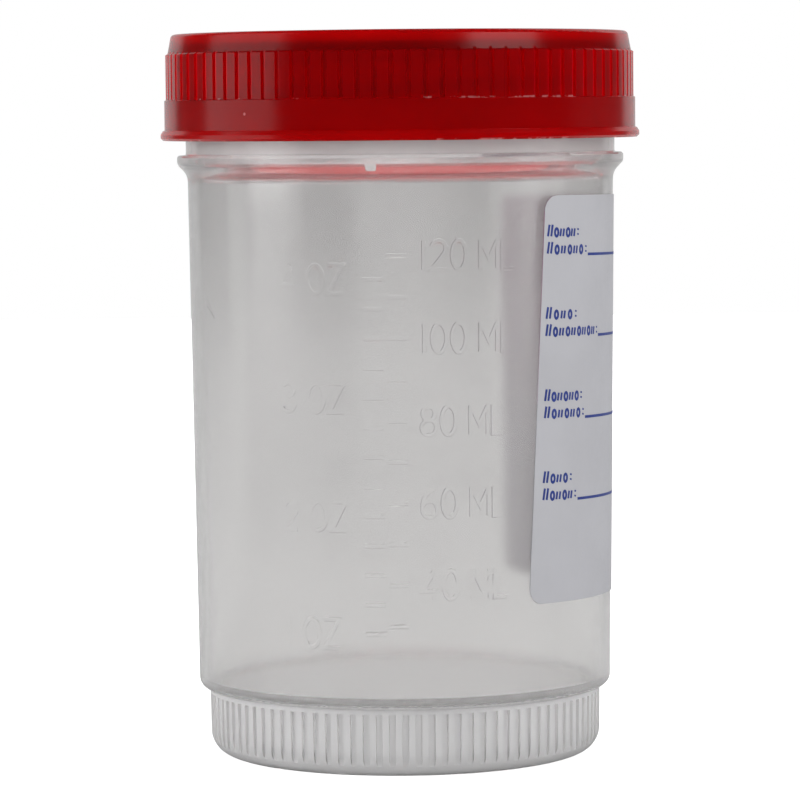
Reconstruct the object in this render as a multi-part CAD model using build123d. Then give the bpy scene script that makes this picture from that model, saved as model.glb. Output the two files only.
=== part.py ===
"""Screw-capped specimen container: a moulded cup with a stepped, fluted foot, a one-piece screw cap
with grip grooves, and an adhesive label wrapped part of the way round the wall.

Millimetres and degrees. Z is up, the origin is the centre of the foot's resting plane, and the front
of the container, where its scale is, faces -Y.
"""

import os
from math import cos, pi, radians, sin, tan

from build123d import *

# Cup: foot
foot_radius = 24.8  # outside of the foot under the step, on the lands between its flutes
foot_height = 8.48  # resting plane to the step under the wall
foot_draft = 0.9  # each side, narrower at the bottom
foot_corner_radius = 2.85  # rounding between the foot's side and its underside
foot_ring_width = 1.6  # flat ring that the cup stands on
foot_recess_depth = 0.8  # how far the underside's panel stands clear of the resting plane
foot_wall = 1.05  # between the bottom of a flute and the cavity
floor_thickness = 1.3
floor_corner_radius = 1.2
flute_count = 96
flute_depth = 0.45
flute_share = 0.52  # part of the pitch that a flute takes
flute_slope = 0.8  # width of a flute's bottom over its mouth
flute_top_gap = 0.63  # plain collar between the flutes and the step

# Cup: wall
step_width = 1.3  # how far the wall stands out from the foot
shoulder_fillet = 1.2  # rounding of the wall's lower edge
wall_height = 64.82  # step to the lower corner of the flare under the bead
wall_draft = 0.67  # each side, wider at the top
wall_thickness = 1.1
ledge_thickness = 1.0  # plastic above the step, inside
ledge_corner_radius = 0.45
ledge_edge_radius = 0.4

# Cup: bead and neck
bead_reach = 1.3  # how far the bead stands out from the wall
bead_height = 1.1  # upright face of the bead
flare_angle = 43.0  # slope of the bead's underside, from the upright
flare_fillet = 2.0
bead_edge_radius = 0.2
neck_step = 0.2  # how far the neck stands out from the top of the wall
neck_height = 13.7  # bead's top face to the rim
neck_wall = 1.3
rim_radius = 0.4
stop_angle = -7.3  # the little stop under the bead, from the front, towards +X
stop_width = 1.3
stop_height = 1.2
stop_drop = 0.55  # top of the bead to the top of the stop
stop_proud = 0.08  # how far it stands out from the bead

# Cap
cap_gap = 1.9  # open gap between the bead and the closed cap's flange
thread_space = 1.24  # between the neck and the inside of the skirt, taken up by both threads
skirt_wall = 0.85  # inside of the skirt to the bottom of a grip groove
plate_thickness = 1.5
plate_corner_radius = 0.4
recess_depth = 0.5  # shallow seat in the top for the foot of a container stacked on it
stack_clearance = 0.35
bevel_height = 2.4  # leaning band under the top edge
bevel_lean = 0.45
bevel_foot = 0.05  # foot of that band over the bottom of the grip grooves
top_edge_radius = 0.55
groove_count = 90
groove_depth = 0.35
groove_width = 0.62
groove_floor_width = 0.4
groove_run_up = 0.35  # how far a groove's end reaches into the leaning band
band_step = 0.2  # plain band beyond the lands of the grip
band_height = 3.8
flange_reach = 0.5  # flange beyond the plain band
flange_height = 1.3
flange_edge_radius = 0.3
skirt_lead_in = 0.4
plug_clearance = 0.15  # between the cap's plug ring and the neck's bore
plug_thickness = 0.9
plug_depth = 2.2
plug_taper = 0.3

# Label
label_width = 51.2  # round the wall
label_height = 50.0
label_top_gap = 2.85  # below the flare's corner
label_thickness = 0.1
label_film = 0.03  # adhesive between the label and the wall
label_corner_radius = 2.0
label_angle = 93.4  # middle of the label, from the front, towards +X
label_tilt = 1.9  # the label was put on a little clockwise
label_splay = 1.0  # its sides spread downwards, because the wall narrows

least_arc = 0.5  # a corner with a smaller rounding than this has a flat instead

# Worked out from the sizes above
draft_slope = tan(radians(wall_draft))
flute_floor_radius = foot_radius - flute_depth
foot_bore = flute_floor_radius - foot_wall
floor_level = foot_recess_depth + floor_thickness
foot_low_radius = foot_radius - foot_height * tan(radians(foot_draft))
recess_radius = foot_low_radius - foot_corner_radius - foot_ring_width
shoulder_radius = foot_radius + step_width
ledge_level = foot_height + ledge_thickness
flare_level = foot_height + wall_height
wall_top_radius = shoulder_radius + wall_height * draft_slope
bead_radius = wall_top_radius + bead_reach
bead_low_level = flare_level + bead_reach / tan(radians(flare_angle))
bead_top_level = bead_low_level + bead_height
neck_radius = wall_top_radius + neck_step
neck_bore = neck_radius - neck_wall
rim_level = bead_top_level + neck_height

skirt_bore = neck_radius + thread_space
groove_floor_radius = skirt_bore + skirt_wall
grip_radius = groove_floor_radius + groove_depth
band_radius = grip_radius + band_step
flange_radius = band_radius + flange_reach
bevel_foot_radius = groove_floor_radius + bevel_foot
cap_edge_radius = bevel_foot_radius - bevel_lean
flange_level = bead_top_level + cap_gap
band_low_level = flange_level + flange_height
grip_low_level = band_low_level + band_height
cap_top_level = rim_level + plate_thickness
grip_top_level = cap_top_level - bevel_height
plug_radius = neck_bore - plug_clearance
plug_bore = plug_radius - plug_thickness
cap_recess_radius = foot_radius + stack_clearance


def turned(profile):
    """Turn an outline about Z. It is a list of ((radius, height), rounding) corners, and its two ends
    lie on the axis. A small rounding becomes a flat that starts its own size from the corner."""
    points = [profile[0][0]]
    radii = []
    for (before, _), (corner, rounding), (after, _) in zip(profile, profile[1:], profile[2:]):
        if 0 < rounding < least_arc:
            for neighbour in (before, after):
                side = (Vector(*neighbour) - Vector(*corner)).normalized()
                points.append(Vector(*corner) + side * rounding)
            radii += [0, 0]
        else:
            points.append(corner)
            radii.append(rounding)
    points.append(profile[-1][0])
    with BuildPart() as part:
        with BuildSketch(Plane.XZ):
            with BuildLine():
                outline = FilletPolyline(*points, radius=radii)
                Line(outline @ 1, outline @ 0)
            make_face()
        revolve(axis=Axis.Z)
    return part.part


def slots(count, floor_radius, floor_width, mouth_radius, mouth_width, low, high):
    """A ring of upright wedge-shaped cutters, wider at the mouth than at the floor."""
    reach = mouth_radius - floor_radius
    beyond = reach  # the cutter runs past the surface by its own depth, on the same slopes
    far_width = mouth_width + (mouth_width - floor_width) * beyond / reach
    section = Polygon(
        (floor_radius, -floor_width / 2),
        (mouth_radius + beyond, -far_width / 2),
        (mouth_radius + beyond, far_width / 2),
        (floor_radius, floor_width / 2),
        align=None,
    )
    cutter = Pos(0, 0, low) * extrude(section, high - low)
    return [Rot(0, 0, turn * 360 / count) * cutter for turn in range(count)]


def around(angle):
    """Turn that brings +X to an angle measured from the front towards +X."""
    return Rot(0, 0, angle - 90)


def wall_radius(height):
    """Outside radius of the tapered wall at a height."""
    return shoulder_radius + (height - foot_height) * draft_slope


def make_cup():
    """The moulded cup, in one piece: foot, wall, bead, neck and the little stop under the bead."""
    profile = [
        ((0, foot_recess_depth), 0),
        ((recess_radius - foot_recess_depth, foot_recess_depth), 0),
        ((recess_radius, 0), 0),
        ((foot_low_radius, 0), foot_corner_radius),
        ((foot_radius, foot_height), 0),
        ((shoulder_radius, foot_height), min(shoulder_fillet, 0.95 * step_width)),
        ((wall_top_radius, flare_level), flare_fillet),
        ((bead_radius, bead_low_level), bead_edge_radius),
        ((bead_radius, bead_top_level), bead_edge_radius),
        ((neck_radius, bead_top_level), bead_edge_radius),
        ((neck_radius, rim_level), rim_radius),
        ((neck_bore, rim_level), rim_radius),
        ((wall_top_radius - wall_thickness, flare_level), 0),
        ((shoulder_radius - wall_thickness, ledge_level), ledge_corner_radius),
        ((foot_bore, ledge_level), ledge_edge_radius),
        ((foot_bore, floor_level), floor_corner_radius),
        ((0, floor_level), 0),
    ]
    return turned(profile) + make_stop() - make_flutes()


def make_flutes():
    """Cutters for the flutes round the foot, which run out through its rounded corner."""
    pitch = 2 * pi * foot_radius / flute_count
    mouth = pitch * flute_share
    high = foot_height - flute_top_gap
    return slots(flute_count, flute_floor_radius, mouth * flute_slope, foot_radius, mouth, 0, high)


def make_stop():
    """Small rounded block against the underside of the bead."""
    root = wall_top_radius - wall_thickness / 2
    depth = bead_radius + stop_proud - root
    block = Box(depth, stop_width, stop_height, align=(Align.MIN, Align.CENTER, Align.MAX))
    block = Pos(root, 0, bead_top_level - stop_drop) * block
    corners = block.edges().filter_by(Axis.X)
    return around(stop_angle) * fillet(corners, stop_width / 5)


def make_cap():
    """The moulded screw cap, in one piece: plate, skirt, grip, flange and plug ring."""
    profile = [
        ((0, cap_top_level - recess_depth), 0),
        ((cap_recess_radius, cap_top_level - recess_depth), 0),
        ((cap_recess_radius + recess_depth, cap_top_level), 0),
        ((cap_edge_radius, cap_top_level), top_edge_radius),
        ((bevel_foot_radius, grip_top_level), 0),
        ((grip_radius, grip_top_level - groove_depth / 2), 0),
        ((grip_radius, grip_low_level), 0),
        ((band_radius, grip_low_level - band_step / 2), 0),
        ((band_radius, band_low_level), 0),
        ((flange_radius, band_low_level - flange_reach / 2), flange_edge_radius),
        ((flange_radius, flange_level), flange_edge_radius),
        ((skirt_bore + skirt_lead_in, flange_level), 0),
        ((skirt_bore, flange_level + skirt_lead_in), 0),
        ((skirt_bore, rim_level), plate_corner_radius),
        ((plug_radius, rim_level), 0),
        ((plug_radius, rim_level - plug_depth + plug_taper), 0),
        ((plug_radius - plug_taper, rim_level - plug_depth), 0),
        ((plug_bore, rim_level - plug_depth), 0),
        ((plug_bore, rim_level), plate_corner_radius),
        ((0, rim_level), 0),
    ]
    return turned(profile) - make_grooves()


def make_grooves():
    """Cutters for the narrow grooves between the wide lands of the grip."""
    high = grip_top_level + groove_run_up
    return slots(
        groove_count, groove_floor_radius, groove_floor_width, grip_radius, groove_width, grip_low_level, high
    )


def label_edges(turn, rise, side_tilt):
    """Point on the wall's cone at a corner of the label, with the directions of its two edges."""
    tangent = Vector(-sin(turn), cos(turn), 0)
    level = Vector(0, 0, rise)
    out = Vector(cos(turn), sin(turn), 0)
    end_tilt = radians(label_tilt - label_splay)
    across = tangent * cos(end_tilt) - Vector(0, 0, sin(end_tilt))
    upward = tangent * sin(side_tilt) + Vector(0, 0, cos(side_tilt))
    return level + out * wall_radius(rise), across, upward


def corner_cutter(point, first, second, radius):
    """Cutter that rounds the corner between two edges which leave a point in two directions."""
    half = radians(first.get_angle(second)) / 2
    centre = radius / sin(half)
    beyond = 1.5
    touch_x = centre - beyond * radius * sin(half)
    touch_y = beyond * radius * cos(half)
    kite = Polygon(
        (centre, 0), (touch_x, touch_y), (centre - beyond * centre, 0), (touch_x, -touch_y), align=None
    )
    sketch = kite - Pos(centre, 0) * Circle(radius)
    plane = Plane(point, x_dir=first + second, z_dir=first.cross(second))
    return extrude(plane * sketch, radius, both=True)


def make_label():
    """Label with rounded corners, bent to the wall's cone and put on at a slight tilt."""
    high = flare_level - label_top_gap
    middle = high - label_height / 2
    spare = label_width / 10
    shell_low = middle - label_height / 2 - spare
    shell_high = middle + label_height / 2 + spare
    inner_low = wall_radius(shell_low) + label_film
    inner_high = wall_radius(shell_high) + label_film
    section = Polygon(
        (inner_low, shell_low),
        (inner_low + label_thickness, shell_low),
        (inner_high + label_thickness, shell_high),
        (inner_high, shell_high),
        align=None,
    )
    half_turn = label_width / wall_radius(middle) / 2
    arc = 2 * (half_turn * 180 / pi + 10)
    label = Rot(0, 0, -arc / 2) * revolve(Plane.XZ * section, Axis.Z, arc)

    for end in (-1, 1):
        point, across, _ = label_edges(0, middle + end * label_height / 2, 0)
        plane = Plane(point, x_dir=across, z_dir=Vector(1, 0, 0).cross(across) * end)
        label = split(label, plane, keep=Keep.BOTTOM)
    for side in (-1, 1):
        side_tilt = radians(label_tilt - side * label_splay)
        point, across, upward = label_edges(side * half_turn, middle, side_tilt)
        out = Vector(point.X, point.Y, 0)
        label = split(label, Plane(point, x_dir=upward, z_dir=upward.cross(out) * side), keep=Keep.BOTTOM)
        for end in (-1, 1):
            shift = end * label_height / 2 * tan(side_tilt) / wall_radius(middle)
            turn = side * half_turn + shift
            drop = wall_radius(middle) * sin(turn) * tan(radians(label_tilt - label_splay))
            corner = label_edges(turn, middle + end * label_height / 2 - drop, side_tilt)
            label -= corner_cutter(corner[0], corner[1] * -side, corner[2] * -end, label_corner_radius)
    return around(label_angle) * label


os.makedirs("parts", exist_ok=True)
export_step(make_cup(), "parts/container_body.step")
export_step(make_cap(), "parts/screw_cap.step")
export_step(make_label(), "parts/label.step")
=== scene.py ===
"""Dressed model of a screw-capped specimen container: clear cup, red cap and write-in label."""

from __future__ import annotations

import logging
import math
from dataclasses import dataclass
from enum import Enum
from typing import Any, Sequence, Union

import bmesh
import bpy
from mathutils import Matrix, Vector

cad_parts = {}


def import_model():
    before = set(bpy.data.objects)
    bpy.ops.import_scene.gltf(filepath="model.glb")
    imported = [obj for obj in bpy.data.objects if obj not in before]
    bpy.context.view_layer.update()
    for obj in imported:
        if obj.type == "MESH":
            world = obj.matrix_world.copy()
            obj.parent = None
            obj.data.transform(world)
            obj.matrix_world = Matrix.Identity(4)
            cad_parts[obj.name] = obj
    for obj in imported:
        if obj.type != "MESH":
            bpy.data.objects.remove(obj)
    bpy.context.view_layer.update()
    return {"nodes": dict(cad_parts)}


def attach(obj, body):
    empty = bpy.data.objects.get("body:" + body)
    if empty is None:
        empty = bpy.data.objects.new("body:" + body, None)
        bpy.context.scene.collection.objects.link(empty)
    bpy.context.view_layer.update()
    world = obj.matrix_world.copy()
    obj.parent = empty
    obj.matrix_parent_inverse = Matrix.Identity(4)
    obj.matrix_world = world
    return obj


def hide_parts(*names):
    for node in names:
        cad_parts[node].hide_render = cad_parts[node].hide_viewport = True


LOG = logging.getLogger("specimen_container")
MM = 0.001

# The middle part of a noise pattern's range, where most of its values lie.
NOISE_SPAN = (0.3, 0.7)
# Share of a gate mark's radius that is level.
GATE_CORE = 0.8
# Refractive index of polypropylene.
PLASTIC_INDEX = 1.49

Colour = tuple[float, float, float]
Point = tuple[float, float, float]
Flat = tuple[float, float]
Number = Union[float, "Signal"]

WHITE: Colour = (1.0, 1.0, 1.0)
BLACK: Colour = (0.0, 0.0, 0.0)


def srgb(red: int, green: int, blue: int) -> Colour:
    """Turn a colour in screen values from 0 to 255 into the linear values that shaders take."""

    def linear(value: int) -> float:
        """One channel, by the sRGB curve."""
        share = value / 255
        return share / 12.92 if share <= 0.04045 else ((share + 0.055) / 1.055) ** 2.4

    return linear(red), linear(green), linear(blue)


class Signal:
    """A shader socket that Python expressions can use. Each operation adds its node."""

    def __init__(self, shader: "Shader", socket: bpy.types.NodeSocket) -> None:
        self.shader = shader
        self.socket = socket

    def _math(self, operation: str, first: Number, second: Number = 0.0) -> "Signal":
        """Add a Math node that joins two numbers."""
        return self.shader.node("ShaderNodeMath", {"operation": operation}, {0: first, 1: second})

    def __add__(self, other: Number) -> "Signal":
        """Sum."""
        return self._math("ADD", self, other)

    def __sub__(self, other: Number) -> "Signal":
        """Difference."""
        return self._math("SUBTRACT", self, other)

    def __rsub__(self, other: Number) -> "Signal":
        """Difference, with the number first."""
        return self._math("SUBTRACT", other, self)

    def __mul__(self, other: Number) -> "Signal":
        """Product."""
        return self._math("MULTIPLY", self, other)

    def __gt__(self, other: Number) -> "Signal":
        """One where this is the larger, nought elsewhere."""
        return self._math("GREATER_THAN", self, other)

    def ramp(self, low: float, high: float, start: float = 0.0, end: float = 1.0) -> "Signal":
        """Smooth step from start to end as this goes from low to high.

        Args:
            low: Value at which the step begins.
            high: Value at which it ends.
            start: Result below low.
            end: Result above high.

        Returns:
            The stepped number.
        """
        settings = {"interpolation_type": "SMOOTHSTEP"}
        inputs = {"Value": self, "From Min": low, "From Max": high, "To Min": start, "To Max": end}
        return self.shader.node("ShaderNodeMapRange", settings, inputs)

    def part(self, name: str) -> "Signal":
        """Another output of the node that this one comes from."""
        return Signal(self.shader, self.socket.node.outputs[name])


class Shader:
    """One node tree of a material or a world, written as expressions."""

    def __init__(self, tree: bpy.types.NodeTree) -> None:
        self.tree = tree
        tree.nodes.clear()

    @classmethod
    def material(cls, name: str) -> tuple[bpy.types.Material, "Shader"]:
        """Make an empty material and the shader that fills it."""
        made = bpy.data.materials.new(name)
        made.use_nodes = True
        return made, cls(made.node_tree)

    def node(
        self,
        kind: str,
        settings: dict[str, Any] | None = None,
        inputs: dict[Any, Any] | None = None,
        output: Any = 0,
    ) -> Signal:
        """Add a node.

        Args:
            kind: The node's type.
            settings: Its properties, set first.
            inputs: Values or signals for its sockets, by name or index.
            output: The socket to return, by name or index.

        Returns:
            The chosen output.
        """
        made = self.tree.nodes.new(kind)
        for key, value in (settings or {}).items():
            setattr(made, key, value)
        for key, value in (inputs or {}).items():
            socket = made.inputs[key]
            if isinstance(value, Signal):
                self.tree.links.new(value.socket, socket)
            elif isinstance(value, tuple) and len(value) == 3 and socket.type == "RGBA":
                socket.default_value = (*value, 1.0)
            else:
                socket.default_value = value
        return Signal(self, made.outputs[output] if made.outputs else None)

    def place(self) -> Signal:
        """Object coordinates, which are metres in the row frame."""
        return self.node("ShaderNodeTexCoord", output="Object")

    def _vector(self, operation: str, *vectors: Any, output: str = "Vector") -> Signal:
        """Add a Vector Math node that works on one or two vectors."""
        inputs = dict(enumerate(vectors))
        return self.node("ShaderNodeVectorMath", {"operation": operation}, inputs, output)

    def _from_axis(self) -> Signal:
        """The place seen from the row frame's axis, without its height."""
        return self._vector("MULTIPLY", self.place(), (1.0, 1.0, 0.0))

    def outward(self) -> Signal:
        """How far a face looks away from the row frame's axis, from -1 to 1."""
        normal = self.node("ShaderNodeNewGeometry", output="True Normal")
        away = self._vector("NORMALIZE", self._from_axis())
        return self._vector("DOT_PRODUCT", normal, away, output="Value")

    def off_axis(self) -> Signal:
        """Distance from the row frame's axis, in metres."""
        return self._vector("LENGTH", self._from_axis(), output="Value")

    def near(self, point: Point, reach: float, core: float = 0.6) -> Signal:
        """Closeness to a point.

        Args:
            point: The point, in metres.
            reach: Distance beyond which the result is 0.
            core: Share of the reach within which it is 1.

        Returns:
            The closeness from 0 to 1.
        """
        gap = self._vector("DISTANCE", self.place(), point, output="Value")
        return gap.ramp(reach * core, reach, 1.0, 0.0)

    def height(self) -> Signal:
        """Height above the row frame's origin, in metres."""
        return self.part_of(self.place(), "Z")

    def part_of(self, vector: Signal, axis: str) -> Signal:
        """One component of a vector."""
        return self.node("ShaderNodeSeparateXYZ", None, {"Vector": vector}, axis)

    def noise(self, scale: float, detail: float = 2.0, stretch: Point | None = None) -> Signal:
        """Noise from 0 to 1.

        Args:
            scale: Its frequency, in cycles a metre.
            detail: Octaves.
            stretch: Factors for the three axes, where the grain isn't even.

        Returns:
            The noise value.
        """
        where = self.place()
        if stretch:
            where = self.node("ShaderNodeMapping", None, {"Vector": where, "Scale": stretch})
        inputs = {"Vector": where, "Scale": scale, "Detail": detail}
        return self.node("ShaderNodeTexNoise", None, inputs)

    @staticmethod
    def uneven(grain: Signal, middle: float, spread: Flat) -> Signal:
        """A value that a grain takes from one side of its middle to the other by the spread."""
        return grain.ramp(*NOISE_SPAN, middle + spread[0], middle + spread[1])

    def blend(self, share: Number, first: Any, second: Any) -> Signal:
        """Mix two colours by a share."""
        settings = {"data_type": "RGBA"}
        inputs = {"Factor": share, 6: first, 7: second}
        return self.node("ShaderNodeMix", settings, inputs, output=2)

    def bump(self, height: Signal, distance: float) -> Signal:
        """Normal that a height pattern bends, with its relief in metres."""
        inputs = {"Height": height, "Distance": distance, "Strength": 1.0}
        return self.node("ShaderNodeBump", None, inputs)

    def finish(self, surface: Signal) -> None:
        """Join a surface or background to the tree's output."""
        world = isinstance(self.tree.id_data, bpy.types.World)
        kind = "ShaderNodeOutputWorld" if world else "ShaderNodeOutputMaterial"
        self.node(kind, None, {"Surface": surface})


@dataclass(frozen=True)
class ClearPlastic:
    """Natural, slightly hazy moulded plastic. It is milkier where it is thick or ribbed. Its neck,
    between the bead and the skirt, is tinted pink: a painted red reflection of the cap.

    Heights and blends are metres. A blend is the height over which one look turns into the next.
    A haze is the share of the light that scatters.
    """

    name: str = "clear_polypropylene"
    tint: Colour = (0.977, 0.97, 0.966)
    milk: Colour = (0.74, 0.735, 0.74)
    clarity: float = 0.88
    roughness: float = 0.12
    roughness_spread: Flat = (-0.02, 0.03)
    grain_scale: float = 2600.0
    flow_scale: float = 90.0
    flow_stretch: Point = (1.0, 1.0, 0.35)
    flow_relief: float = 0.02 * MM
    foot_height: float = 8.4 * MM
    foot_blend: float = 1.0 * MM
    foot_haze: float = 0.62
    foot_facing: Flat = (0.3, 0.6)
    foot_roughness: float = 0.3
    bead_height: float = 74.7 * MM
    bead_blend: float = 0.3 * MM
    bead_haze: float = 0.02
    neck_height: float = 75.8 * MM
    neck_blend: float = 0.4 * MM
    neck_haze: float = 0.3
    # Pink neck colours: a painted red reflection of the cap.
    neck_milk_painted_red: Colour = (0.95, 0.89, 0.89)
    neck_tint_painted_red: Colour = (0.985, 0.96, 0.96)
    skirt_height: float = 78.3 * MM
    skirt_blend: float = 1.2 * MM
    skirt_clearing: float = 0.75
    gate_radius: float = 1.2 * MM
    gate_depth: float = 0.15 * MM

    def material(self) -> bpy.types.Material:
        """Make the material."""
        made, shader = Shader.material(self.name)
        height = shader.height()
        foot = height.ramp(self.foot_height, self.foot_height + self.foot_blend, 1.0, 0.0)
        collar = height.ramp(self.bead_height, self.bead_height + self.bead_blend)
        neck_top = self.neck_height + self.neck_blend
        neck = height.ramp(self.neck_height, neck_top, self.bead_haze, self.neck_haze)
        hidden = height.ramp(self.skirt_height, self.skirt_height + self.skirt_blend)
        # Painted red reflection of the cap: the neck's pink tint, from the bead up to the skirt.
        painted_red_cast = collar * (1 - hidden)

        grain = shader.noise(self.grain_scale, 2.0)
        rough = shader.uneven(grain, self.roughness, self.roughness_spread)
        flow = shader.noise(self.flow_scale, 2.0, self.flow_stretch)
        gate = shader.off_axis().ramp(self.gate_radius * GATE_CORE, self.gate_radius)
        relief = gate + flow * (self.flow_relief / self.gate_depth)
        common = {
            "Roughness": rough + foot * self.foot_roughness,
            "IOR": PLASTIC_INDEX,
            "Normal": shader.bump(relief, self.gate_depth),
        }
        tint = {"Base Color": shader.blend(painted_red_cast, self.tint, self.neck_tint_painted_red)}
        clarity = {"Transmission Weight": self.clarity}
        clear = shader.node("ShaderNodeBsdfPrincipled", None, tint | clarity | common)
        milk = {"Base Color": shader.blend(painted_red_cast, self.milk, self.neck_milk_painted_red)}
        milky = shader.node("ShaderNodeBsdfPrincipled", None, milk | common)

        outside = shader.outward().ramp(*self.foot_facing, 0.0, self.foot_haze)
        haze = foot * outside + collar * neck * (1 - hidden * self.skirt_clearing)
        shader.finish(shader.node("ShaderNodeMixShader", None, {0: haze, 1: clear, 2: milky}))
        return made


@dataclass(frozen=True)
class RedPlastic:
    """Opaque red moulded plastic: a low sheen, bits of flash on its edges, a gate mark on top.

    Heights, radii, spots and blends are metres. A span of the grip, the ledge or the skirt is the
    two heights between which a look comes or goes, counted from that edge. The cloud's span and the
    flash's are values of their noise.
    """

    name: str = "red_polypropylene"
    colour: Colour = srgb(152, 0, 2)
    cloud_scale: float = 60.0
    cloud_span: Flat = (0.35, 0.65)
    cloud_shade: float = 0.14
    # Brighter grip and groove colours are painted light that offsets the shade in the grip and its
    # grooves.
    grip_painted_light_colour: Colour = srgb(170, 0, 3)
    grip_low: float = 82.8 * MM
    grip_low_span: Flat = (-0.1 * MM, 0.1 * MM)
    grip_high: float = 88.2 * MM
    grip_high_blend: float = 0.4 * MM
    groove_painted_light_colour: Colour = srgb(206, 0, 4)
    groove_radius: float = 29.2 * MM
    groove_blend: float = 0.15 * MM
    flash_colour: Colour = srgb(214, 112, 112)
    flash_cover: float = 0.8
    flash_scale: float = 700.0
    flash_span: Flat = (0.6, 0.68)
    flash_spot: Point = (13.0 * MM, -26.0 * MM, 82.8 * MM)
    flash_reach: float = 12.0 * MM
    flash_boost: float = 0.12
    ledge_under_span: Flat = (-0.15 * MM, 0.0)
    ledge_over_span: Flat = (0.05 * MM, 0.2 * MM)
    skirt_low: float = 77.7 * MM
    skirt_edge_span: Flat = (0.1 * MM, 0.25 * MM)
    speck: Point = (-18.8 * MM, -23.0 * MM, 81.0 * MM)
    speck_radius: float = 0.22 * MM
    gate_radius: float = 1.5 * MM
    gate_depth: float = 0.15 * MM
    roughness: float = 0.16
    roughness_spread: Flat = (0.0, 0.05)
    grain_scale: float = 5200.0
    grain_relief: float = 0.004 * MM
    glow: float = 1.0
    glow_radius: Point = (1.0, 0.12, 0.12)
    glow_scale: float = 0.02

    def material(self) -> bpy.types.Material:
        """Make the material."""
        made, shader = Shader.material(self.name)
        grain = shader.noise(self.grain_scale, 3.0)
        gate = shader.off_axis().ramp(self.gate_radius * GATE_CORE, self.gate_radius)
        relief = gate + grain * (self.grain_relief / self.gate_depth)
        red = self._red(shader)
        surface = shader.node(
            "ShaderNodeBsdfPrincipled",
            None,
            {
                "Base Color": shader.blend(self._flash(shader), red, self.flash_colour),
                "Roughness": shader.uneven(grain, self.roughness, self.roughness_spread),
                "IOR": PLASTIC_INDEX,
                "Subsurface Weight": self.glow,
                "Subsurface Radius": self.glow_radius,
                "Subsurface Scale": self.glow_scale,
                "Normal": shader.bump(relief, self.gate_depth),
            },
        )
        shader.finish(surface)
        return made

    @staticmethod
    def _step(height: Signal, edge: float, span: Flat, falling: bool = False) -> Signal:
        """Smooth step up or down at an edge, over a span of heights measured from it."""
        ends = (1.0, 0.0) if falling else (0.0, 1.0)
        return height.ramp(edge + span[0], edge + span[1], *ends)

    def _red(self, shader: Shader) -> Signal:
        """The plastic's colour: slightly cloudy, with painted light that brightens the grip, and
        its groove floors more, against their shade.
        """
        height = shader.height()
        # Painted light: the grip and its groove floors are lightened against their shade.
        below_top = self._step(height, self.grip_high, (0.0, self.grip_high_blend), True)
        grip = self._step(height, self.grip_low, self.grip_low_span) * below_top
        groove = self._step(shader.off_axis(), self.groove_radius, (0.0, self.groove_blend), True)
        colour = shader.blend(groove, self.grip_painted_light_colour, self.groove_painted_light_colour)
        colour = shader.blend(grip, self.colour, colour)
        cloud = shader.noise(self.cloud_scale, 3.0).ramp(*self.cloud_span, self.cloud_shade, 0.0)
        return shader.blend(cloud, colour, BLACK)

    def _flash(self, shader: Shader) -> Signal:
        """How much flash covers the red: bits on two edges, denser near a spot, and a speck."""
        height = shader.height()
        over = self._step(height, self.grip_low, self.ledge_over_span, True)
        ledge = self._step(height, self.grip_low, self.ledge_under_span) * over
        edge = self._step(height, self.skirt_low, self.skirt_edge_span, True)
        denser = shader.near(self.flash_spot, self.flash_reach) * self.flash_boost
        bits = (shader.noise(self.flash_scale, 3.0) + denser).ramp(*self.flash_span)
        speck = shader.near(self.speck, self.speck_radius)
        return ((ledge + edge) * bits + speck) * self.flash_cover


@dataclass(frozen=True)
class LabelStock:
    """Smooth matt label paper, whose back shows its adhesive, painted darker and pinker towards the
    top as painted shade with a red cast. Spans are metres.
    """

    name: str = "label_stock"
    colour: Colour = srgb(184, 184, 189)
    adhesive: Colour = srgb(226, 220, 230)
    adhesive_painted_shade: Colour = srgb(170, 116, 148)
    painted_shade_span: Flat = (35.0 * MM, 68.0 * MM)
    cloud_scale: float = 120.0
    cloud_shade: float = 0.95
    roughness: float = 0.55
    roughness_spread: Flat = (0.0, 0.1)
    fibre_scale: float = 1500.0
    fibre_relief: float = 0.006 * MM

    def material(self) -> bpy.types.Material:
        """Make the material."""
        made, shader = Shader.material(self.name)
        fibre = shader.noise(self.fibre_scale, 4.0)
        cloud = shader.noise(self.cloud_scale, 2.0)
        dull = tuple(channel * self.cloud_shade for channel in self.colour)
        face = shader.blend(cloud.ramp(*NOISE_SPAN), dull, self.colour)
        inward = 1 - (shader.outward() > 0.0)
        # Painted shade with a red cast on the label's back, growing towards the top.
        painted_red_cast = shader.height().ramp(*self.painted_shade_span)
        back = shader.blend(painted_red_cast, self.adhesive, self.adhesive_painted_shade)
        surface = shader.node(
            "ShaderNodeBsdfPrincipled",
            None,
            {
                "Base Color": shader.blend(inward, face, back),
                "Roughness": shader.uneven(fibre, self.roughness, self.roughness_spread),
                "Normal": shader.bump(fibre, self.fibre_relief),
            },
        )
        shader.finish(surface)
        return made


@dataclass(frozen=True)
class Ink:
    """Printing ink on the label."""

    name: str = "blue_ink"
    colour: Colour = srgb(34, 54, 128)
    patch_scale: float = 2500.0
    patch_span: Flat = (0.35, 0.7)
    patch_gain: float = 1.25
    roughness: float = 0.5

    def material(self) -> bpy.types.Material:
        """Make the material."""
        made, shader = Shader.material(self.name)
        patchy = shader.noise(self.patch_scale, 3.0).ramp(*self.patch_span)
        pale = tuple(channel * self.patch_gain for channel in self.colour)
        colour = shader.blend(patchy, self.colour, pale)
        inputs = {"Base Color": colour, "Roughness": self.roughness}
        shader.finish(shader.node("ShaderNodeBsdfPrincipled", None, inputs))
        return made


class Body(Enum):
    """The bodies that pieces ride on."""

    CONTAINER = "container"
    CAP = "cap"


class Slot(Enum):
    """The record's material slots."""

    CLEAR = "clear_plastic"
    RED = "red_plastic"
    PAPER = "label_paper"


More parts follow.
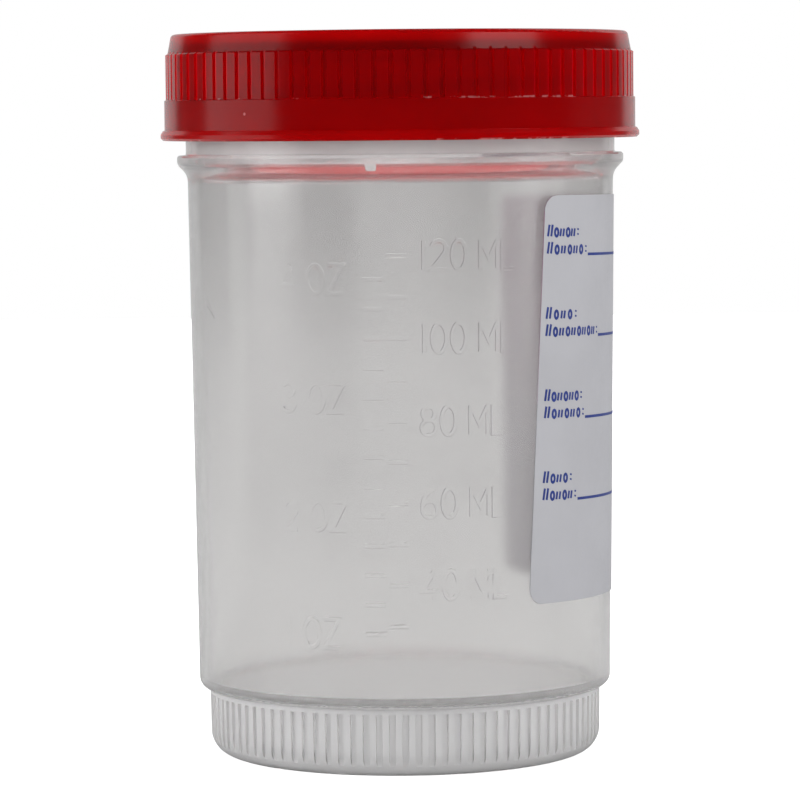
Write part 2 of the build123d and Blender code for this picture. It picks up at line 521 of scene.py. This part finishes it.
@dataclass(frozen=True)
class Cone:
    """Round surface about the Z axis, straight or tapered, seen from outside or from inside."""

    radius_at_zero: float
    slope: float = 0.0
    facing: int = 1

    @classmethod
    def measured(cls, node: bpy.types.Object, low: float, high: float, turn: float = 0.0) -> "Cone":
        """Find the outside of a node between two heights where it is one cone.

        Args:
            node: The frame's node.
            low: A height near the cone's lower end, in metres.
            high: A height near its upper end.
            turn: Where to measure, in degrees from the front towards +X.

        Returns:
            The cone through the node's surface at both heights.
        """
        out = Vector((math.sin(math.radians(turn)), -math.cos(math.radians(turn)), 0.0))
        radii = []
        for height in (low, high):
            _, spot, _, _ = node.ray_cast(out + Vector((0.0, 0.0, height)), -out)
            radii.append(spot.xy.length)
        slope = (radii[1] - radii[0]) / (high - low)
        return cls(radii[0] - slope * low, slope)

    def radius(self, height: float) -> float:
        """Radius at a height."""
        return self.radius_at_zero + self.slope * height

    def place(self, turn: float, height: float, proud: float = 0.0) -> Vector:
        """Point on the surface, or above it by proud, at a turn in degrees from the front."""
        angle = math.radians(turn)
        radius = self.radius(height) + self.facing * proud
        return Vector((radius * math.sin(angle), -radius * math.cos(angle), height))

    def normal(self, spot: Vector) -> Vector:
        """Direction away from the surface at a point."""
        flat = spot.xy.normalized()
        return Vector((flat.x, flat.y, -self.slope)).normalized() * self.facing


@dataclass(frozen=True)
class Ridge:
    """Cross-section of a raised line. Its foot is rooted a little below the surface."""

    foot_width: float
    top_width: float
    proud: float
    root: float

    def rails(self) -> tuple[Flat, ...]:
        """Sideways place and height of the four long edges."""
        foot, top = self.foot_width / 2, self.top_width / 2
        return (foot, -self.root), (top, self.proud), (-top, self.proud), (-foot, -self.root)


@dataclass(frozen=True)
class Spot:
    """Where a drawing starts on a round surface, and how far it leans clockwise, in degrees."""

    turn: float
    height: float
    lean: float = 0.0


class Lines:
    """Raised or printed lines on a round surface, gathered into one mesh.

    A path's steps are no longer than longest. A line that fades starts first_rise of a step up its
    slope. A corner is widened by one over the cosine of half its turn, and sharpest is the lowest
    cosine that counts.
    """

    first_rise: float = 0.15
    sharpest: float = 0.45

    def __init__(self, surface: Cone, ridge: Ridge, longest: float = 0.7 * MM) -> None:
        self.surface = surface
        self.ridge = ridge
        self.longest = longest
        self.points: list[Vector] = []
        self.faces: list[tuple[int, ...]] = []

    def draw(self, path: Sequence[Flat], spot: Spot, closed: bool = False, fade: int = 0) -> None:
        """Add one line.

        Args:
            path: Its middle, as (along, up) in metres on the unrolled surface.
            spot: Where the path's origin lies.
            closed: Whether the end joins the start.
            fade: Steps over which the line rises from the surface at each end.
        """
        path = self._divided(path, closed)
        rails = self.ridge.rails()
        count, wide = len(path), len(rails)
        start = len(self.points)
        for index, (point, side) in enumerate(zip(path, self._sideways(path, closed))):
            steps_in = min(index, count - 1 - index) + self.first_rise
            rise = min(1.0, steps_in / fade) if fade else 1.0
            for reach, proud in rails:
                edge = (point[0] + side[0] * reach, point[1] + side[1] * reach)
                self.points.append(self._placed(edge, spot, proud * rise if proud > 0 else proud))
        for index in range(count if closed else count - 1):
            ring = start + wide * index
            following = start + wide * ((index + 1) % count)
            for rail in range(wide):
                after = (rail + 1) % wide
                self.faces.append((ring + rail, following + rail, following + after, ring + after))
        if not closed:
            last = start + wide * (count - 1)
            self.faces.append(tuple(range(start, start + wide)))
            self.faces.append(tuple(reversed(range(last, last + wide))))

    def _placed(self, point: Flat, spot: Spot, proud: float) -> Vector:
        """A point of the unrolled drawing, leaned with it and rolled onto the surface."""
        right, high = point
        lean = math.radians(spot.lean)
        height = spot.height + high * math.cos(lean) - right * math.sin(lean)
        across = right * math.cos(lean) + high * math.sin(lean)
        turn = spot.turn + math.degrees(across / self.surface.radius(spot.height))
        return self.surface.place(turn, height, proud)

    def _divided(self, path: Sequence[Flat], closed: bool) -> list[Flat]:
        """The same path with no long step, so that it follows the round surface."""
        ends = list(path[1:]) + ([path[0]] if closed else [])
        divided: list[Flat] = []
        for (x, y), (next_x, next_y) in zip(path, ends):
            steps = max(1, math.ceil(math.hypot(next_x - x, next_y - y) / self.longest))
            for step in range(steps):
                share = step / steps
                divided.append((x + (next_x - x) * share, y + (next_y - y) * share))
        return divided if closed else divided + [path[-1]]

    def _sideways(self, path: Sequence[Flat], closed: bool) -> list[Flat]:
        """Sideways direction at each point, longer at a corner so that the line keeps its width."""
        count = len(path)
        sides: list[Flat] = []
        for index, point in enumerate(path):
            before = path[index - 1] if closed or index else point
            after = path[(index + 1) % count] if closed or index < count - 1 else point
            arriving = Vector((point[0] - before[0], point[1] - before[1]))
            leaving = Vector((after[0] - point[0], after[1] - point[1]))
            arriving = (arriving if arriving.length else leaving).normalized()
            leaving = (leaving if leaving.length else arriving).normalized()
            middle = (arriving + leaving).normalized()
            longer = 1 / max(self.sharpest, middle.dot(arriving))
            sides.append((-middle.y * longer, middle.x * longer))
        return sides

    def mesh(self, name: str) -> bpy.types.Object:
        """Turn the lines into an object with outward faces, linked to the scene."""
        mesh = bpy.data.meshes.new(name)
        mesh.from_pydata(self.points, [], self.faces)
        work = bmesh.new()
        work.from_mesh(mesh)
        bmesh.ops.recalc_face_normals(work, faces=work.faces)
        work.to_mesh(mesh)
        work.free()
        made = bpy.data.objects.new(name, mesh)
        bpy.context.scene.collection.objects.link(made)
        return made


def arc(centre: Flat, radii: Flat, start: float, end: float, steps: int = 14) -> list[Flat]:
    """Points along an elliptical arc.

    Args:
        centre: Its middle.
        radii: Its radii along and up.
        start: Angle of the first point, in degrees.
        end: Angle of the last one. An arc of a full turn leaves it out.
        steps: Number of steps between the two.

    Returns:
        The points in order.
    """
    full = abs(end - start) >= 360
    points = []
    for step in range(steps if full else steps + 1):
        angle = math.radians(start + (end - start) * step / steps)
        along, up = radii[0] * math.cos(angle), radii[1] * math.sin(angle)
        points.append((centre[0] + along, centre[1] + up))
    return points


def oval(centre: Flat, radii: Flat, steps: int = 14) -> list[Flat]:
    """Points round an ellipse."""
    return arc(centre, radii, 0, 360, steps)


@dataclass(frozen=True)
class Glyph:
    """One upright sign of a plain stroke alphabet, 1 high, of open strokes and closed rings."""

    width: float
    strokes: tuple[Sequence[Flat], ...] = ()
    rings: tuple[Sequence[Flat], ...] = ()


def alphabet() -> dict[str, Glyph]:
    """The plain figures and unit letters of a measuring scale."""
    return {
        "0": Glyph(0.52, rings=(oval((0.26, 0.5), (0.26, 0.5), 20),)),
        "1": Glyph(0.2, ([(0.12, 1.0), (0.12, 0.0)],)),
        "2": Glyph(0.54, (arc((0.26, 0.73), (0.26, 0.27), 165, -35) + [(0.0, 0.0), (0.54, 0.0)],)),
        "4": Glyph(0.56, ([(0.4, 1.0), (0.0, 0.3), (0.56, 0.3)], [(0.41, 0.97), (0.41, 0.0)])),
        "3": Glyph(
            0.52,
            (
                arc((0.24, 0.76), (0.24, 0.24), 150, -90, 10),
                arc((0.24, 0.27), (0.28, 0.27), 100, -150, 12),
            ),
        ),
        "6": Glyph(
            0.54,
            (arc((0.5, 0.32), (0.5, 0.66), 95, 175, 8),),
            (oval((0.27, 0.29), (0.27, 0.29)),),
        ),
        "8": Glyph(
            0.52,
            rings=(oval((0.26, 0.76), (0.22, 0.24)), oval((0.26, 0.27), (0.26, 0.27))),
        ),
        "M": Glyph(
            0.66,
            (
                [(0.0, 0.0), (0.0, 1.0)],
                [(0.02, 0.97), (0.33, 0.35), (0.64, 0.97)],
                [(0.66, 1.0), (0.66, 0.0)],
            ),
        ),
        "L": Glyph(0.46, ([(0.0, 1.0), (0.0, 0.0), (0.46, 0.0)],)),
        "O": Glyph(0.62, rings=(oval((0.31, 0.5), (0.31, 0.5), 20),)),
        "Z": Glyph(0.54, ([(0.0, 1.0), (0.54, 1.0), (0.0, 0.0), (0.54, 0.0)],)),
        " ": Glyph(0.14),
    }


@dataclass(frozen=True)
class Scale:
    """Moulded measuring scale: two columns of ticks with their numbers, in metres and degrees.

    Numbers of ounces stand at every fourth tick from the lowest one. Numbers of millilitres stand
    at every second tick, from the second one up. The letters' gap is a share of their height.
    """

    ounce_words: tuple[str, ...] = ("1 OZ", "2 OZ", "3 OZ", "4 OZ")
    ounce_every: int = 4
    millilitre_words: tuple[str, ...] = ("40 ML", "60 ML", "80 ML", "100 ML", "120 ML")
    millilitre_every: int = 2
    letter_height: float = 3.5 * MM
    letter_gap: float = 0.2
    squeeze: float = 0.97
    ounce_step: float = 3.593 * MM
    ounce_low: float = 17.9 * MM
    ounce_ticks: int = 13
    ounce_turn: float = -10.3
    ounce_tick: float = 2.45 * MM
    ounce_text_turn: float = -33.3
    millilitre_step: float = 5.0 * MM
    millilitre_low: float = 18.85 * MM
    millilitre_ticks: int = 10
    millilitre_turn: float = -3.8
    millilitre_tick: float = 2.3 * MM
    millilitre_text_turn: float = 4.9
    back_turn: float = 178.0

    def draw(self, layers: Sequence[Lines], round_to: float) -> None:
        """Draw the scale once.

        Args:
            layers: Lines to add to. Strokes of a sign that cross are in different ones.
            round_to: Turn of the whole scale from the front, in degrees.
        """
        signs = alphabet()
        for index in range(self.ounce_ticks):
            spot = Spot(self.ounce_turn + round_to, self.ounce_low + index * self.ounce_step)
            layers[0].draw([(0.0, 0.0), (self.ounce_tick, 0.0)], spot)
        for index in range(self.millilitre_ticks):
            height = self.millilitre_low + index * self.millilitre_step
            spot = Spot(self.millilitre_turn + round_to, height)
            layers[0].draw([(0.0, 0.0), (self.millilitre_tick, 0.0)], spot)
        for index, words in enumerate(self.ounce_words):
            height = self.ounce_low + self.ounce_every * index * self.ounce_step
            self._write(layers, signs, words, Spot(self.ounce_text_turn + round_to, height))
        for index, words in enumerate(self.millilitre_words):
            tick = self.millilitre_every * index + 1
            height = self.millilitre_low + tick * self.millilitre_step
            self._write(layers, signs, words, Spot(self.millilitre_text_turn + round_to, height))

    def _write(
        self, layers: Sequence[Lines], signs: dict[str, Glyph], words: str, spot: Spot
    ) -> None:
        """Write one line, with its middle at the spot's height."""
        along = 0.0
        size = self.letter_height
        for sign in words:
            glyph = signs[sign]
            strokes = [(stroke, False) for stroke in glyph.strokes]
            strokes += [(ring, True) for ring in glyph.rings]
            for index, (stroke, closed) in enumerate(strokes):
                path = [((along + x * self.squeeze) * size, (y - 0.5) * size) for x, y in stroke]
                layers[index % len(layers)].draw(path, spot, closed)
            along += (glyph.width + self.letter_gap) * self.squeeze


@dataclass(frozen=True)
class Thread:
    """Moulded screw thread as one ridge that winds up a round surface.

    Steps are counted for each turn, and fade is the number of them over which each end runs out.
    """

    pitch: float = 4.0 * MM
    turns: float = 1.7
    start_turn: float = 200.0
    ridge: Ridge = Ridge(1.6 * MM, 0.6 * MM, 0.85 * MM, 0.05 * MM)
    steps: int = 96
    fade: int = 6

    def draw(self, surface: Cone, height: float) -> Lines:
        """Wind the ridge up a surface from a starting height."""
        around = 2 * math.pi * surface.radius(height)
        lines = Lines(surface, self.ridge, longest=around)
        count = round(self.steps * self.turns)
        path = [
            (around * self.turns * step / count, self.pitch * self.turns * step / count)
            for step in range(count + 1)
        ]
        lines.draw(path, Spot(self.start_turn, height), fade=self.fade)
        return lines


def unite(body: bpy.types.Object, addition: bpy.types.Object) -> None:
    """Join a closed object to another one for good, and drop it."""
    modifier = body.modifiers.new("join", "BOOLEAN")
    modifier.operation = "UNION"
    modifier.solver = "MANIFOLD"
    modifier.object = addition
    depsgraph = bpy.context.evaluated_depsgraph_get()
    joined = bpy.data.meshes.new_from_object(body.evaluated_get(depsgraph))
    body.modifiers.clear()
    body.data = joined
    bpy.data.objects.remove(addition)


class NormalKeeper:
    """Gives a mesh the smooth normals of the frame's mesh that it was made from.

    Directions are alike where their dot product is above like. Edges turn sharp at crease degrees.
    """

    like: float = 0.99
    crease: float = 28.0
    keys_in_metre: float = 1e6

    def __init__(self, source: bpy.types.Mesh, surfaces: Sequence[Cone]) -> None:
        self.surfaces = surfaces
        self.known: dict[tuple[int, ...], list[tuple[Vector, Vector]]] = {}
        for face in source.polygons:
            for corner in face.loop_indices:
                spot = source.vertices[source.loops[corner].vertex_index].co
                pair = (face.normal.copy(), source.corner_normals[corner].vector.copy())
                self.known.setdefault(self._key(spot), []).append(pair)

    def _key(self, spot: Vector) -> tuple[int, ...]:
        """A point to the nearest micrometre."""
        return tuple(round(value * self.keys_in_metre) for value in spot)

    def apply(self, mesh: bpy.types.Mesh) -> None:
        """Set the mesh's corner normals, and leave sharp what the additions made sharp."""
        mesh.shade_smooth()
        mesh.set_sharp_from_angle(angle=math.radians(self.crease))
        plain = [corner.vector.copy() for corner in mesh.corner_normals]
        for face in mesh.polygons:
            for corner in face.loop_indices:
                spot = mesh.vertices[mesh.loops[corner].vertex_index].co
                plain[corner] = self._best(spot, face.normal, plain[corner])
        mesh.normals_split_custom_set(plain)

    def _best(self, spot: Vector, face: Vector, plain: Vector) -> Vector:
        """The source's normal at a corner, else the round surface's, else the plain one."""
        choices = self.known.get(self._key(spot), [])
        if choices:
            flat, normal = max(choices, key=lambda pair: pair[0].dot(face))
            if flat.dot(face) > self.like:
                return normal
        for surface in self.surfaces:
            if surface.normal(spot).dot(face) > self.like:
                return surface.normal(spot)
        return plain


def dress(node: bpy.types.Object, material: bpy.types.Material) -> None:
    """Put one material in every slot of a frame node."""
    for slot in node.material_slots:
        slot.material = material


def add_piece(
    piece: bpy.types.Object, body: Body, material: bpy.types.Material
) -> None:
    """Give a new piece its material and its body."""
    piece.data.materials.clear()
    piece.data.materials.append(material)
    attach(piece, body.value)
    LOG.info("%s: %d faces", piece.name, len(piece.data.polygons))


@dataclass(frozen=True)
class Cup:
    """The moulded cup with its scale and its neck thread. Heights are metres."""

    wall_span: Flat = (12.0 * MM, 70.0 * MM)
    neck_span: Flat = (77.0 * MM, 88.0 * MM)
    marks: tuple[Ridge, ...] = (
        Ridge(0.62 * MM, 0.4 * MM, 0.1 * MM, 0.05 * MM),
        Ridge(0.56 * MM, 0.36 * MM, 0.09 * MM, 0.06 * MM),
    )
    scale: Scale = Scale()
    thread: Thread = Thread()
    thread_height: float = 80.4 * MM
    scratch: Ridge = Ridge(0.25 * MM, 0.1 * MM, 0.05 * MM, 0.05 * MM)
    scuff: tuple[Flat, ...] = ((0.0, 0.0), (1.1 * MM, -0.55 * MM), (2.07 * MM, -1.4 * MM))
    scuff_spot: Spot = Spot(-64.9, 57.2 * MM)
    weld: float = 0.0001 * MM

    def build(self, node: bpy.types.Object, material: bpy.types.Material) -> None:
        """Copy the frame's cup and unite it with its relief."""
        wall = Cone.measured(node, *self.wall_span)
        neck = Cone.measured(node, *self.neck_span)
        keeper = NormalKeeper(node.data, (wall, neck))
        cup = bpy.data.objects.new("moulded_cup", self._welded(node.data))
        bpy.context.scene.collection.objects.link(cup)
        layers = [Lines(wall, mark) for mark in self.marks]
        for turn in (0.0, self.scale.back_turn):
            self.scale.draw(layers, turn)
        winding = self.thread.draw(neck, self.thread_height)
        scratch = Lines(wall, self.scratch)
        scratch.draw(self.scuff, self.scuff_spot)
        for index, lines in enumerate((*layers, winding, scratch)):
            unite(cup, lines.mesh(f"relief_{index}"))
        keeper.apply(cup.data)
        add_piece(cup, Body.CONTAINER, material)
        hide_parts("container_body")

    def _welded(self, source: bpy.types.Mesh) -> bpy.types.Mesh:
        """Closed copy of a mesh, with its split edges joined."""
        mesh = source.copy()
        work = bmesh.new()
        work.from_mesh(mesh)
        bmesh.ops.remove_doubles(work, verts=work.verts, dist=self.weld)
        work.to_mesh(mesh)
        work.free()
        return mesh


@dataclass(frozen=True)
class CapThread:
    """Thread inside the cap's skirt, between the turns of the neck's. Heights are metres."""

    thread: Thread = Thread(turns=1.5)
    height: float = 82.2 * MM
    bore_height: float = 84.0 * MM
    crease: float = 25.0

    def build(self, cap: bpy.types.Object, material: bpy.types.Material) -> None:
        """Make the ridge on the skirt's bore, which a ray from the axis finds."""
        side = Vector((1.0, 0.0, 0.0))
        _, spot, _, _ = cap.ray_cast(Vector((0.0, 0.0, self.bore_height)), side)
        piece = self.thread.draw(Cone(spot.x, facing=-1), self.height).mesh("cap_thread")
        piece.data.shade_smooth()
        piece.data.set_sharp_from_angle(angle=math.radians(self.crease))
        add_piece(piece, Body.CAP, material)


@dataclass(frozen=True)
class LabelPrint:
    """Blue print of the label: short greeked words with a line to write on. It says nothing.

    A row has two words and a rule after the second. A word is a line of bars in pairs and of rings,
    and two dots end it. Lengths are metres.
    """

    span: Flat = (25.0 * MM, 65.0 * MM)
    face_turn: float = 95.0
    stroke: Ridge = Ridge(0.34 * MM, 0.34 * MM, 0.02 * MM, 0.02 * MM)
    start: Spot = Spot(41.55, 66.5 * MM, 1.3)
    row_pitch: float = 10.05 * MM
    line_pitch: float = 2.1 * MM
    words: tuple[Flat, ...] = (
        (6.0 * MM, 7.9 * MM),
        (5.8 * MM, 11.2 * MM),
        (7.3 * MM, 7.8 * MM),
        (5.3 * MM, 6.3 * MM),
    )
    far_margin: float = 46.0 * MM
    rule_gap: float = 0.35 * MM
    rule_drop: float = 0.12 * MM
    tall: float = 1.42 * MM
    tall_every: int = 5
    low: float = 0.95 * MM
    step: float = 1.16 * MM
    slant: float = 0.16
    side_gap: float = 0.1 * MM
    bar_gap: float = 0.55 * MM
    ring_middle: float = 0.42 * MM
    ring_radius: float = 0.3 * MM
    fewest_letters: int = 3
    dots_room: float = 0.6 * MM
    dots_inset: float = 0.2 * MM
    dot_heights: Flat = (0.15 * MM, 0.75 * MM)
    dot_size: float = 0.22 * MM

    def build(self, node: bpy.types.Object, material: bpy.types.Material) -> None:
        """Draw all rows on the label's face."""
        face = Cone.measured(node, *self.span, turn=self.face_turn)
        ink = Lines(face, self.stroke)
        for row, widths in enumerate(self.words):
            for line, width in enumerate(widths):
                up = -(row * self.row_pitch + line * self.line_pitch)
                self._word(ink, width, up - self.tall / 2)
            rule_start = widths[-1] + self.rule_gap
            up = -(row * self.row_pitch + self.line_pitch) - self.tall / 2 - self.rule_drop
            ink.draw([(rule_start, up), (self.far_margin, up)], self.start)
        add_piece(ink.mesh("label_print"), Body.CONTAINER, material)

    def _word(self, ink: Lines, width: float, base: float) -> None:
        """One word of plain bars and rings that stand for letters, with two dots after it."""
        room = width - self.dots_room
        count = max(self.fewest_letters, round(room / self.step))
        for index in range(count):
            left = index * (room / count) + self.side_gap
            tall = self.low if index % self.tall_every else self.tall
            if index % 2:
                self._ring(ink, left + self.ring_middle, base)
            else:
                self._bar(ink, left, base, tall)
                self._bar(ink, left + self.bar_gap, base, tall)
        for up in self.dot_heights:
            self._bar(ink, width - self.dots_inset, base + up, self.dot_size)

    def _bar(self, ink: Lines, left: float, base: float, height: float) -> None:
        """Slanted upright stroke."""
        ink.draw([(left, base), (left + self.slant * height, base + height)], self.start)

    def _ring(self, ink: Lines, middle: float, base: float) -> None:
        """Small oval ring."""
        ring = oval((middle, base + self.low / 2), (self.ring_radius, self.low / 2), 12)
        ink.draw(ring, self.start, True)


@dataclass(frozen=True)
class Softbox:
    """Rectangular lamp. Its middle and its width and height are metres, its power is watts.

    Glossy surfaces show it only where it is mirrored.
    """

    name: str
    spot: Point
    size: Flat
    power: float
    mirrored: bool = True

    def hang(self, aim: Point) -> None:
        """Put the lamp up so that it faces a point."""
        data = bpy.data.lights.new(self.name, "AREA")
        data.shape = "RECTANGLE"
        data.size, data.size_y = self.size
        data.energy = self.power
        lamp = bpy.data.objects.new(self.name, data)
        lamp.location = self.spot
        lamp.visible_glossy = self.mirrored
        direction = Vector(aim) - Vector(self.spot)
        lamp.rotation_euler = direction.to_track_quat("-Z", "Y").to_euler()
        bpy.context.scene.collection.objects.link(lamp)


@dataclass(frozen=True)
class Studio:
    """Pale floor, backdrop, soft lights and the camera. Lengths are metres, angles degrees.

    A level is a brightness from 0 to 1. A span is the two places, along Y on the floor and along Z
    on the screen, between which a level changes. A pair of levels belongs to a span's two ends.
    """

    camera_distance: float = 0.5297
    camera_height: float = 0.08167
    camera_side: float = -0.00031
    camera_pitch: float = 4.006
    camera_roll: float = 0.54
    view_pixels: float = 4183.0
    image_pixels: float = 800.0
    sensor: float = 36.0
    nearest: float = 0.01
    world_level: float = 0.2
    side_level: float = 0.65
    front_gloss: float = 0.03
    back_gloss: float = 0.6
    floor_reach: float = 3.0
    floor_level: float = 0.8
    floor_roughness: float = 0.9
    floor_through_span: Flat = (0.08, 0.5)
    floor_through: Flat = (0.665, 0.495)
    floor_gloss_span: Flat = (-0.02, 0.06)
    screen_half: float = 0.95
    screen_depth: float = 1.1
    screen_top: float = 1.6
    screen_through_span: Flat = (0.0, 0.08)
    screen_through: Flat = (0.4, 0.285)
    aim: Point = (0.0, 0.0, 0.05)
    softboxes: tuple[Softbox, ...] = (
        Softbox("left_softbox", (-0.75, -0.08, 0.22), (0.64, 0.9), 1.25),
        Softbox("front_softbox", (0.1, -1.0, 0.32), (1.2, 0.6), 3.9, False),
        Softbox("right_softbox", (0.7, -0.5, 0.6), (0.65, 0.5), 1.6),
        Softbox("top_softbox", (0.0, 0.8, 0.8), (0.8, 0.8), 5.8, False),
        Softbox("left_fill", (-0.9, -0.3, 0.3), (0.6, 0.6), 3.7, False),
        Softbox("right_fill", (0.95, -0.1, 0.3), (0.6, 0.6), 2.9, False),
    )

    def build(self) -> None:
        """Make everything that isn't part of the container."""
        self._camera()
        self._world()
        self._floor()
        self._backdrop()
        for softbox in self.softboxes:
            softbox.hang(self.aim)

    def _camera(self) -> None:
        """Camera as high as the cap, looking slightly down, with a long lens."""
        data = bpy.data.cameras.new("camera")
        data.sensor_width = self.sensor
        data.lens = self.sensor * self.view_pixels / self.image_pixels
        data.clip_start = self.nearest
        camera = bpy.data.objects.new("camera", data)
        look = Matrix.Rotation(math.radians(90 - self.camera_pitch), 4, "X")
        roll = Matrix.Rotation(math.radians(-self.camera_roll), 4, "Z")
        spot = Matrix.Translation((self.camera_side, -self.camera_distance, self.camera_height))
        camera.matrix_world = spot @ look @ roll
        bpy.context.scene.collection.objects.link(camera)
        bpy.context.scene.camera = camera

    def _world(self) -> None:
        """White where the camera looks, pale through clear pieces, dim and even as a light."""
        world = bpy.data.worlds.new("studio")
        bpy.context.scene.world = world
        world.use_nodes = True
        shader = Shader(world.node_tree)
        level = self._level(shader, self.world_level, 1.0, self.side_level, self.front_gloss)
        inputs = {"Color": WHITE, "Strength": level}
        shader.finish(shader.node("ShaderNodeBackground", None, inputs))

    @staticmethod
    def _level(
        shader: Shader, lit: float, seen: float, through: Number, mirrored: Number
    ) -> Signal:
        """Brightness by what looks at a stage surface.

        Args:
            shader: Tree that gets the nodes.
            lit: Level as a light on the container.
            seen: Level for the camera.
            through: Level behind clear pieces.
            mirrored: Level in glossy surfaces.

        Returns:
            The level.
        """
        camera = shader.node("ShaderNodeLightPath", output="Is Camera Ray")
        clear = camera.part("Is Transmission Ray")
        glossy = camera.part("Is Glossy Ray")
        level = camera * (seen - lit) + clear * (through - lit)
        return level + glossy * (1 - clear) * (mirrored - lit) + lit

    @staticmethod
    def _plate(name: str, corners: Sequence[Point], material: bpy.types.Material) -> None:
        """Flat stage piece through four corners."""
        mesh = bpy.data.meshes.new(name)
        mesh.from_pydata(corners, [], [(0, 1, 2, 3)])
        mesh.materials.append(material)
        made = bpy.data.objects.new(name, mesh)
        bpy.context.scene.collection.objects.link(made)

    def _floor(self) -> None:
        """Pale floor that keeps the container's shadow."""
        material, shader = Shader.material("floor")
        depth = shader.part_of(shader.place(), "Y")
        through = depth.ramp(*self.floor_through_span, *self.floor_through)
        mirrored = depth.ramp(*self.floor_gloss_span, self.front_gloss, self.back_gloss)
        level = self.floor_level
        surface = shader.node(
            "ShaderNodeBsdfPrincipled",
            None,
            {
                "Base Color": self._level(shader, level, level, through, mirrored),
                "Roughness": self.floor_roughness,
                "Specular IOR Level": 0.0,
                "Emission Color": self._level(shader, 0.0, level, 0.0, 0.0),
                "Emission Strength": 1.0,
            },
        )
        shader.finish(surface)
        far = self.floor_reach
        corners = [(-far, -far, 0), (far, -far, 0), (far, far, 0), (-far, far, 0)]
        self._plate("floor", corners, material)

    def _backdrop(self) -> None:
        """White screen behind the container, which also lights it from the back."""
        material, shader = Shader.material("backdrop")
        through = shader.height().ramp(*self.screen_through_span, *self.screen_through)
        level = self._level(shader, 1.0, 1.0, through, self.back_gloss)
        inputs = {"Color": WHITE, "Strength": level}
        shader.finish(shader.node("ShaderNodeEmission", None, inputs))
        half, deep, top = self.screen_half, self.screen_depth, self.screen_top
        corners = [(-half, deep, 0.0), (half, deep, 0.0), (half, deep, top), (-half, deep, top)]
        self._plate("backdrop", corners, material)


def set_render(scene: bpy.types.Scene) -> None:
    """Show colours as they are, and let light pass the cup's many walls."""
    scene.view_settings.view_transform = "Standard"
    scene.cycles.max_bounces = 18
    scene.cycles.glossy_bounces = 10
    scene.cycles.transmission_bounces = 16


def main() -> None:
    """Load the frame, dress its nodes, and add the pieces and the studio."""
    logging.basicConfig(level=logging.INFO, format="%(name)s: %(message)s")
    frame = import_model()
    nodes = frame["nodes"]
    clear = ClearPlastic().material()
    red = RedPlastic().material()
    dress(nodes["container_body"], clear)
    dress(nodes["screw_cap"], red)
    dress(nodes["label"], LabelStock().material())
    Cup().build(nodes["container_body"], clear)
    CapThread().build(nodes["screw_cap"], red)
    LabelPrint().build(nodes["label"], Ink().material())
    Studio().build()
    set_render(bpy.context.scene)


if __name__ == "__main__":
    main()
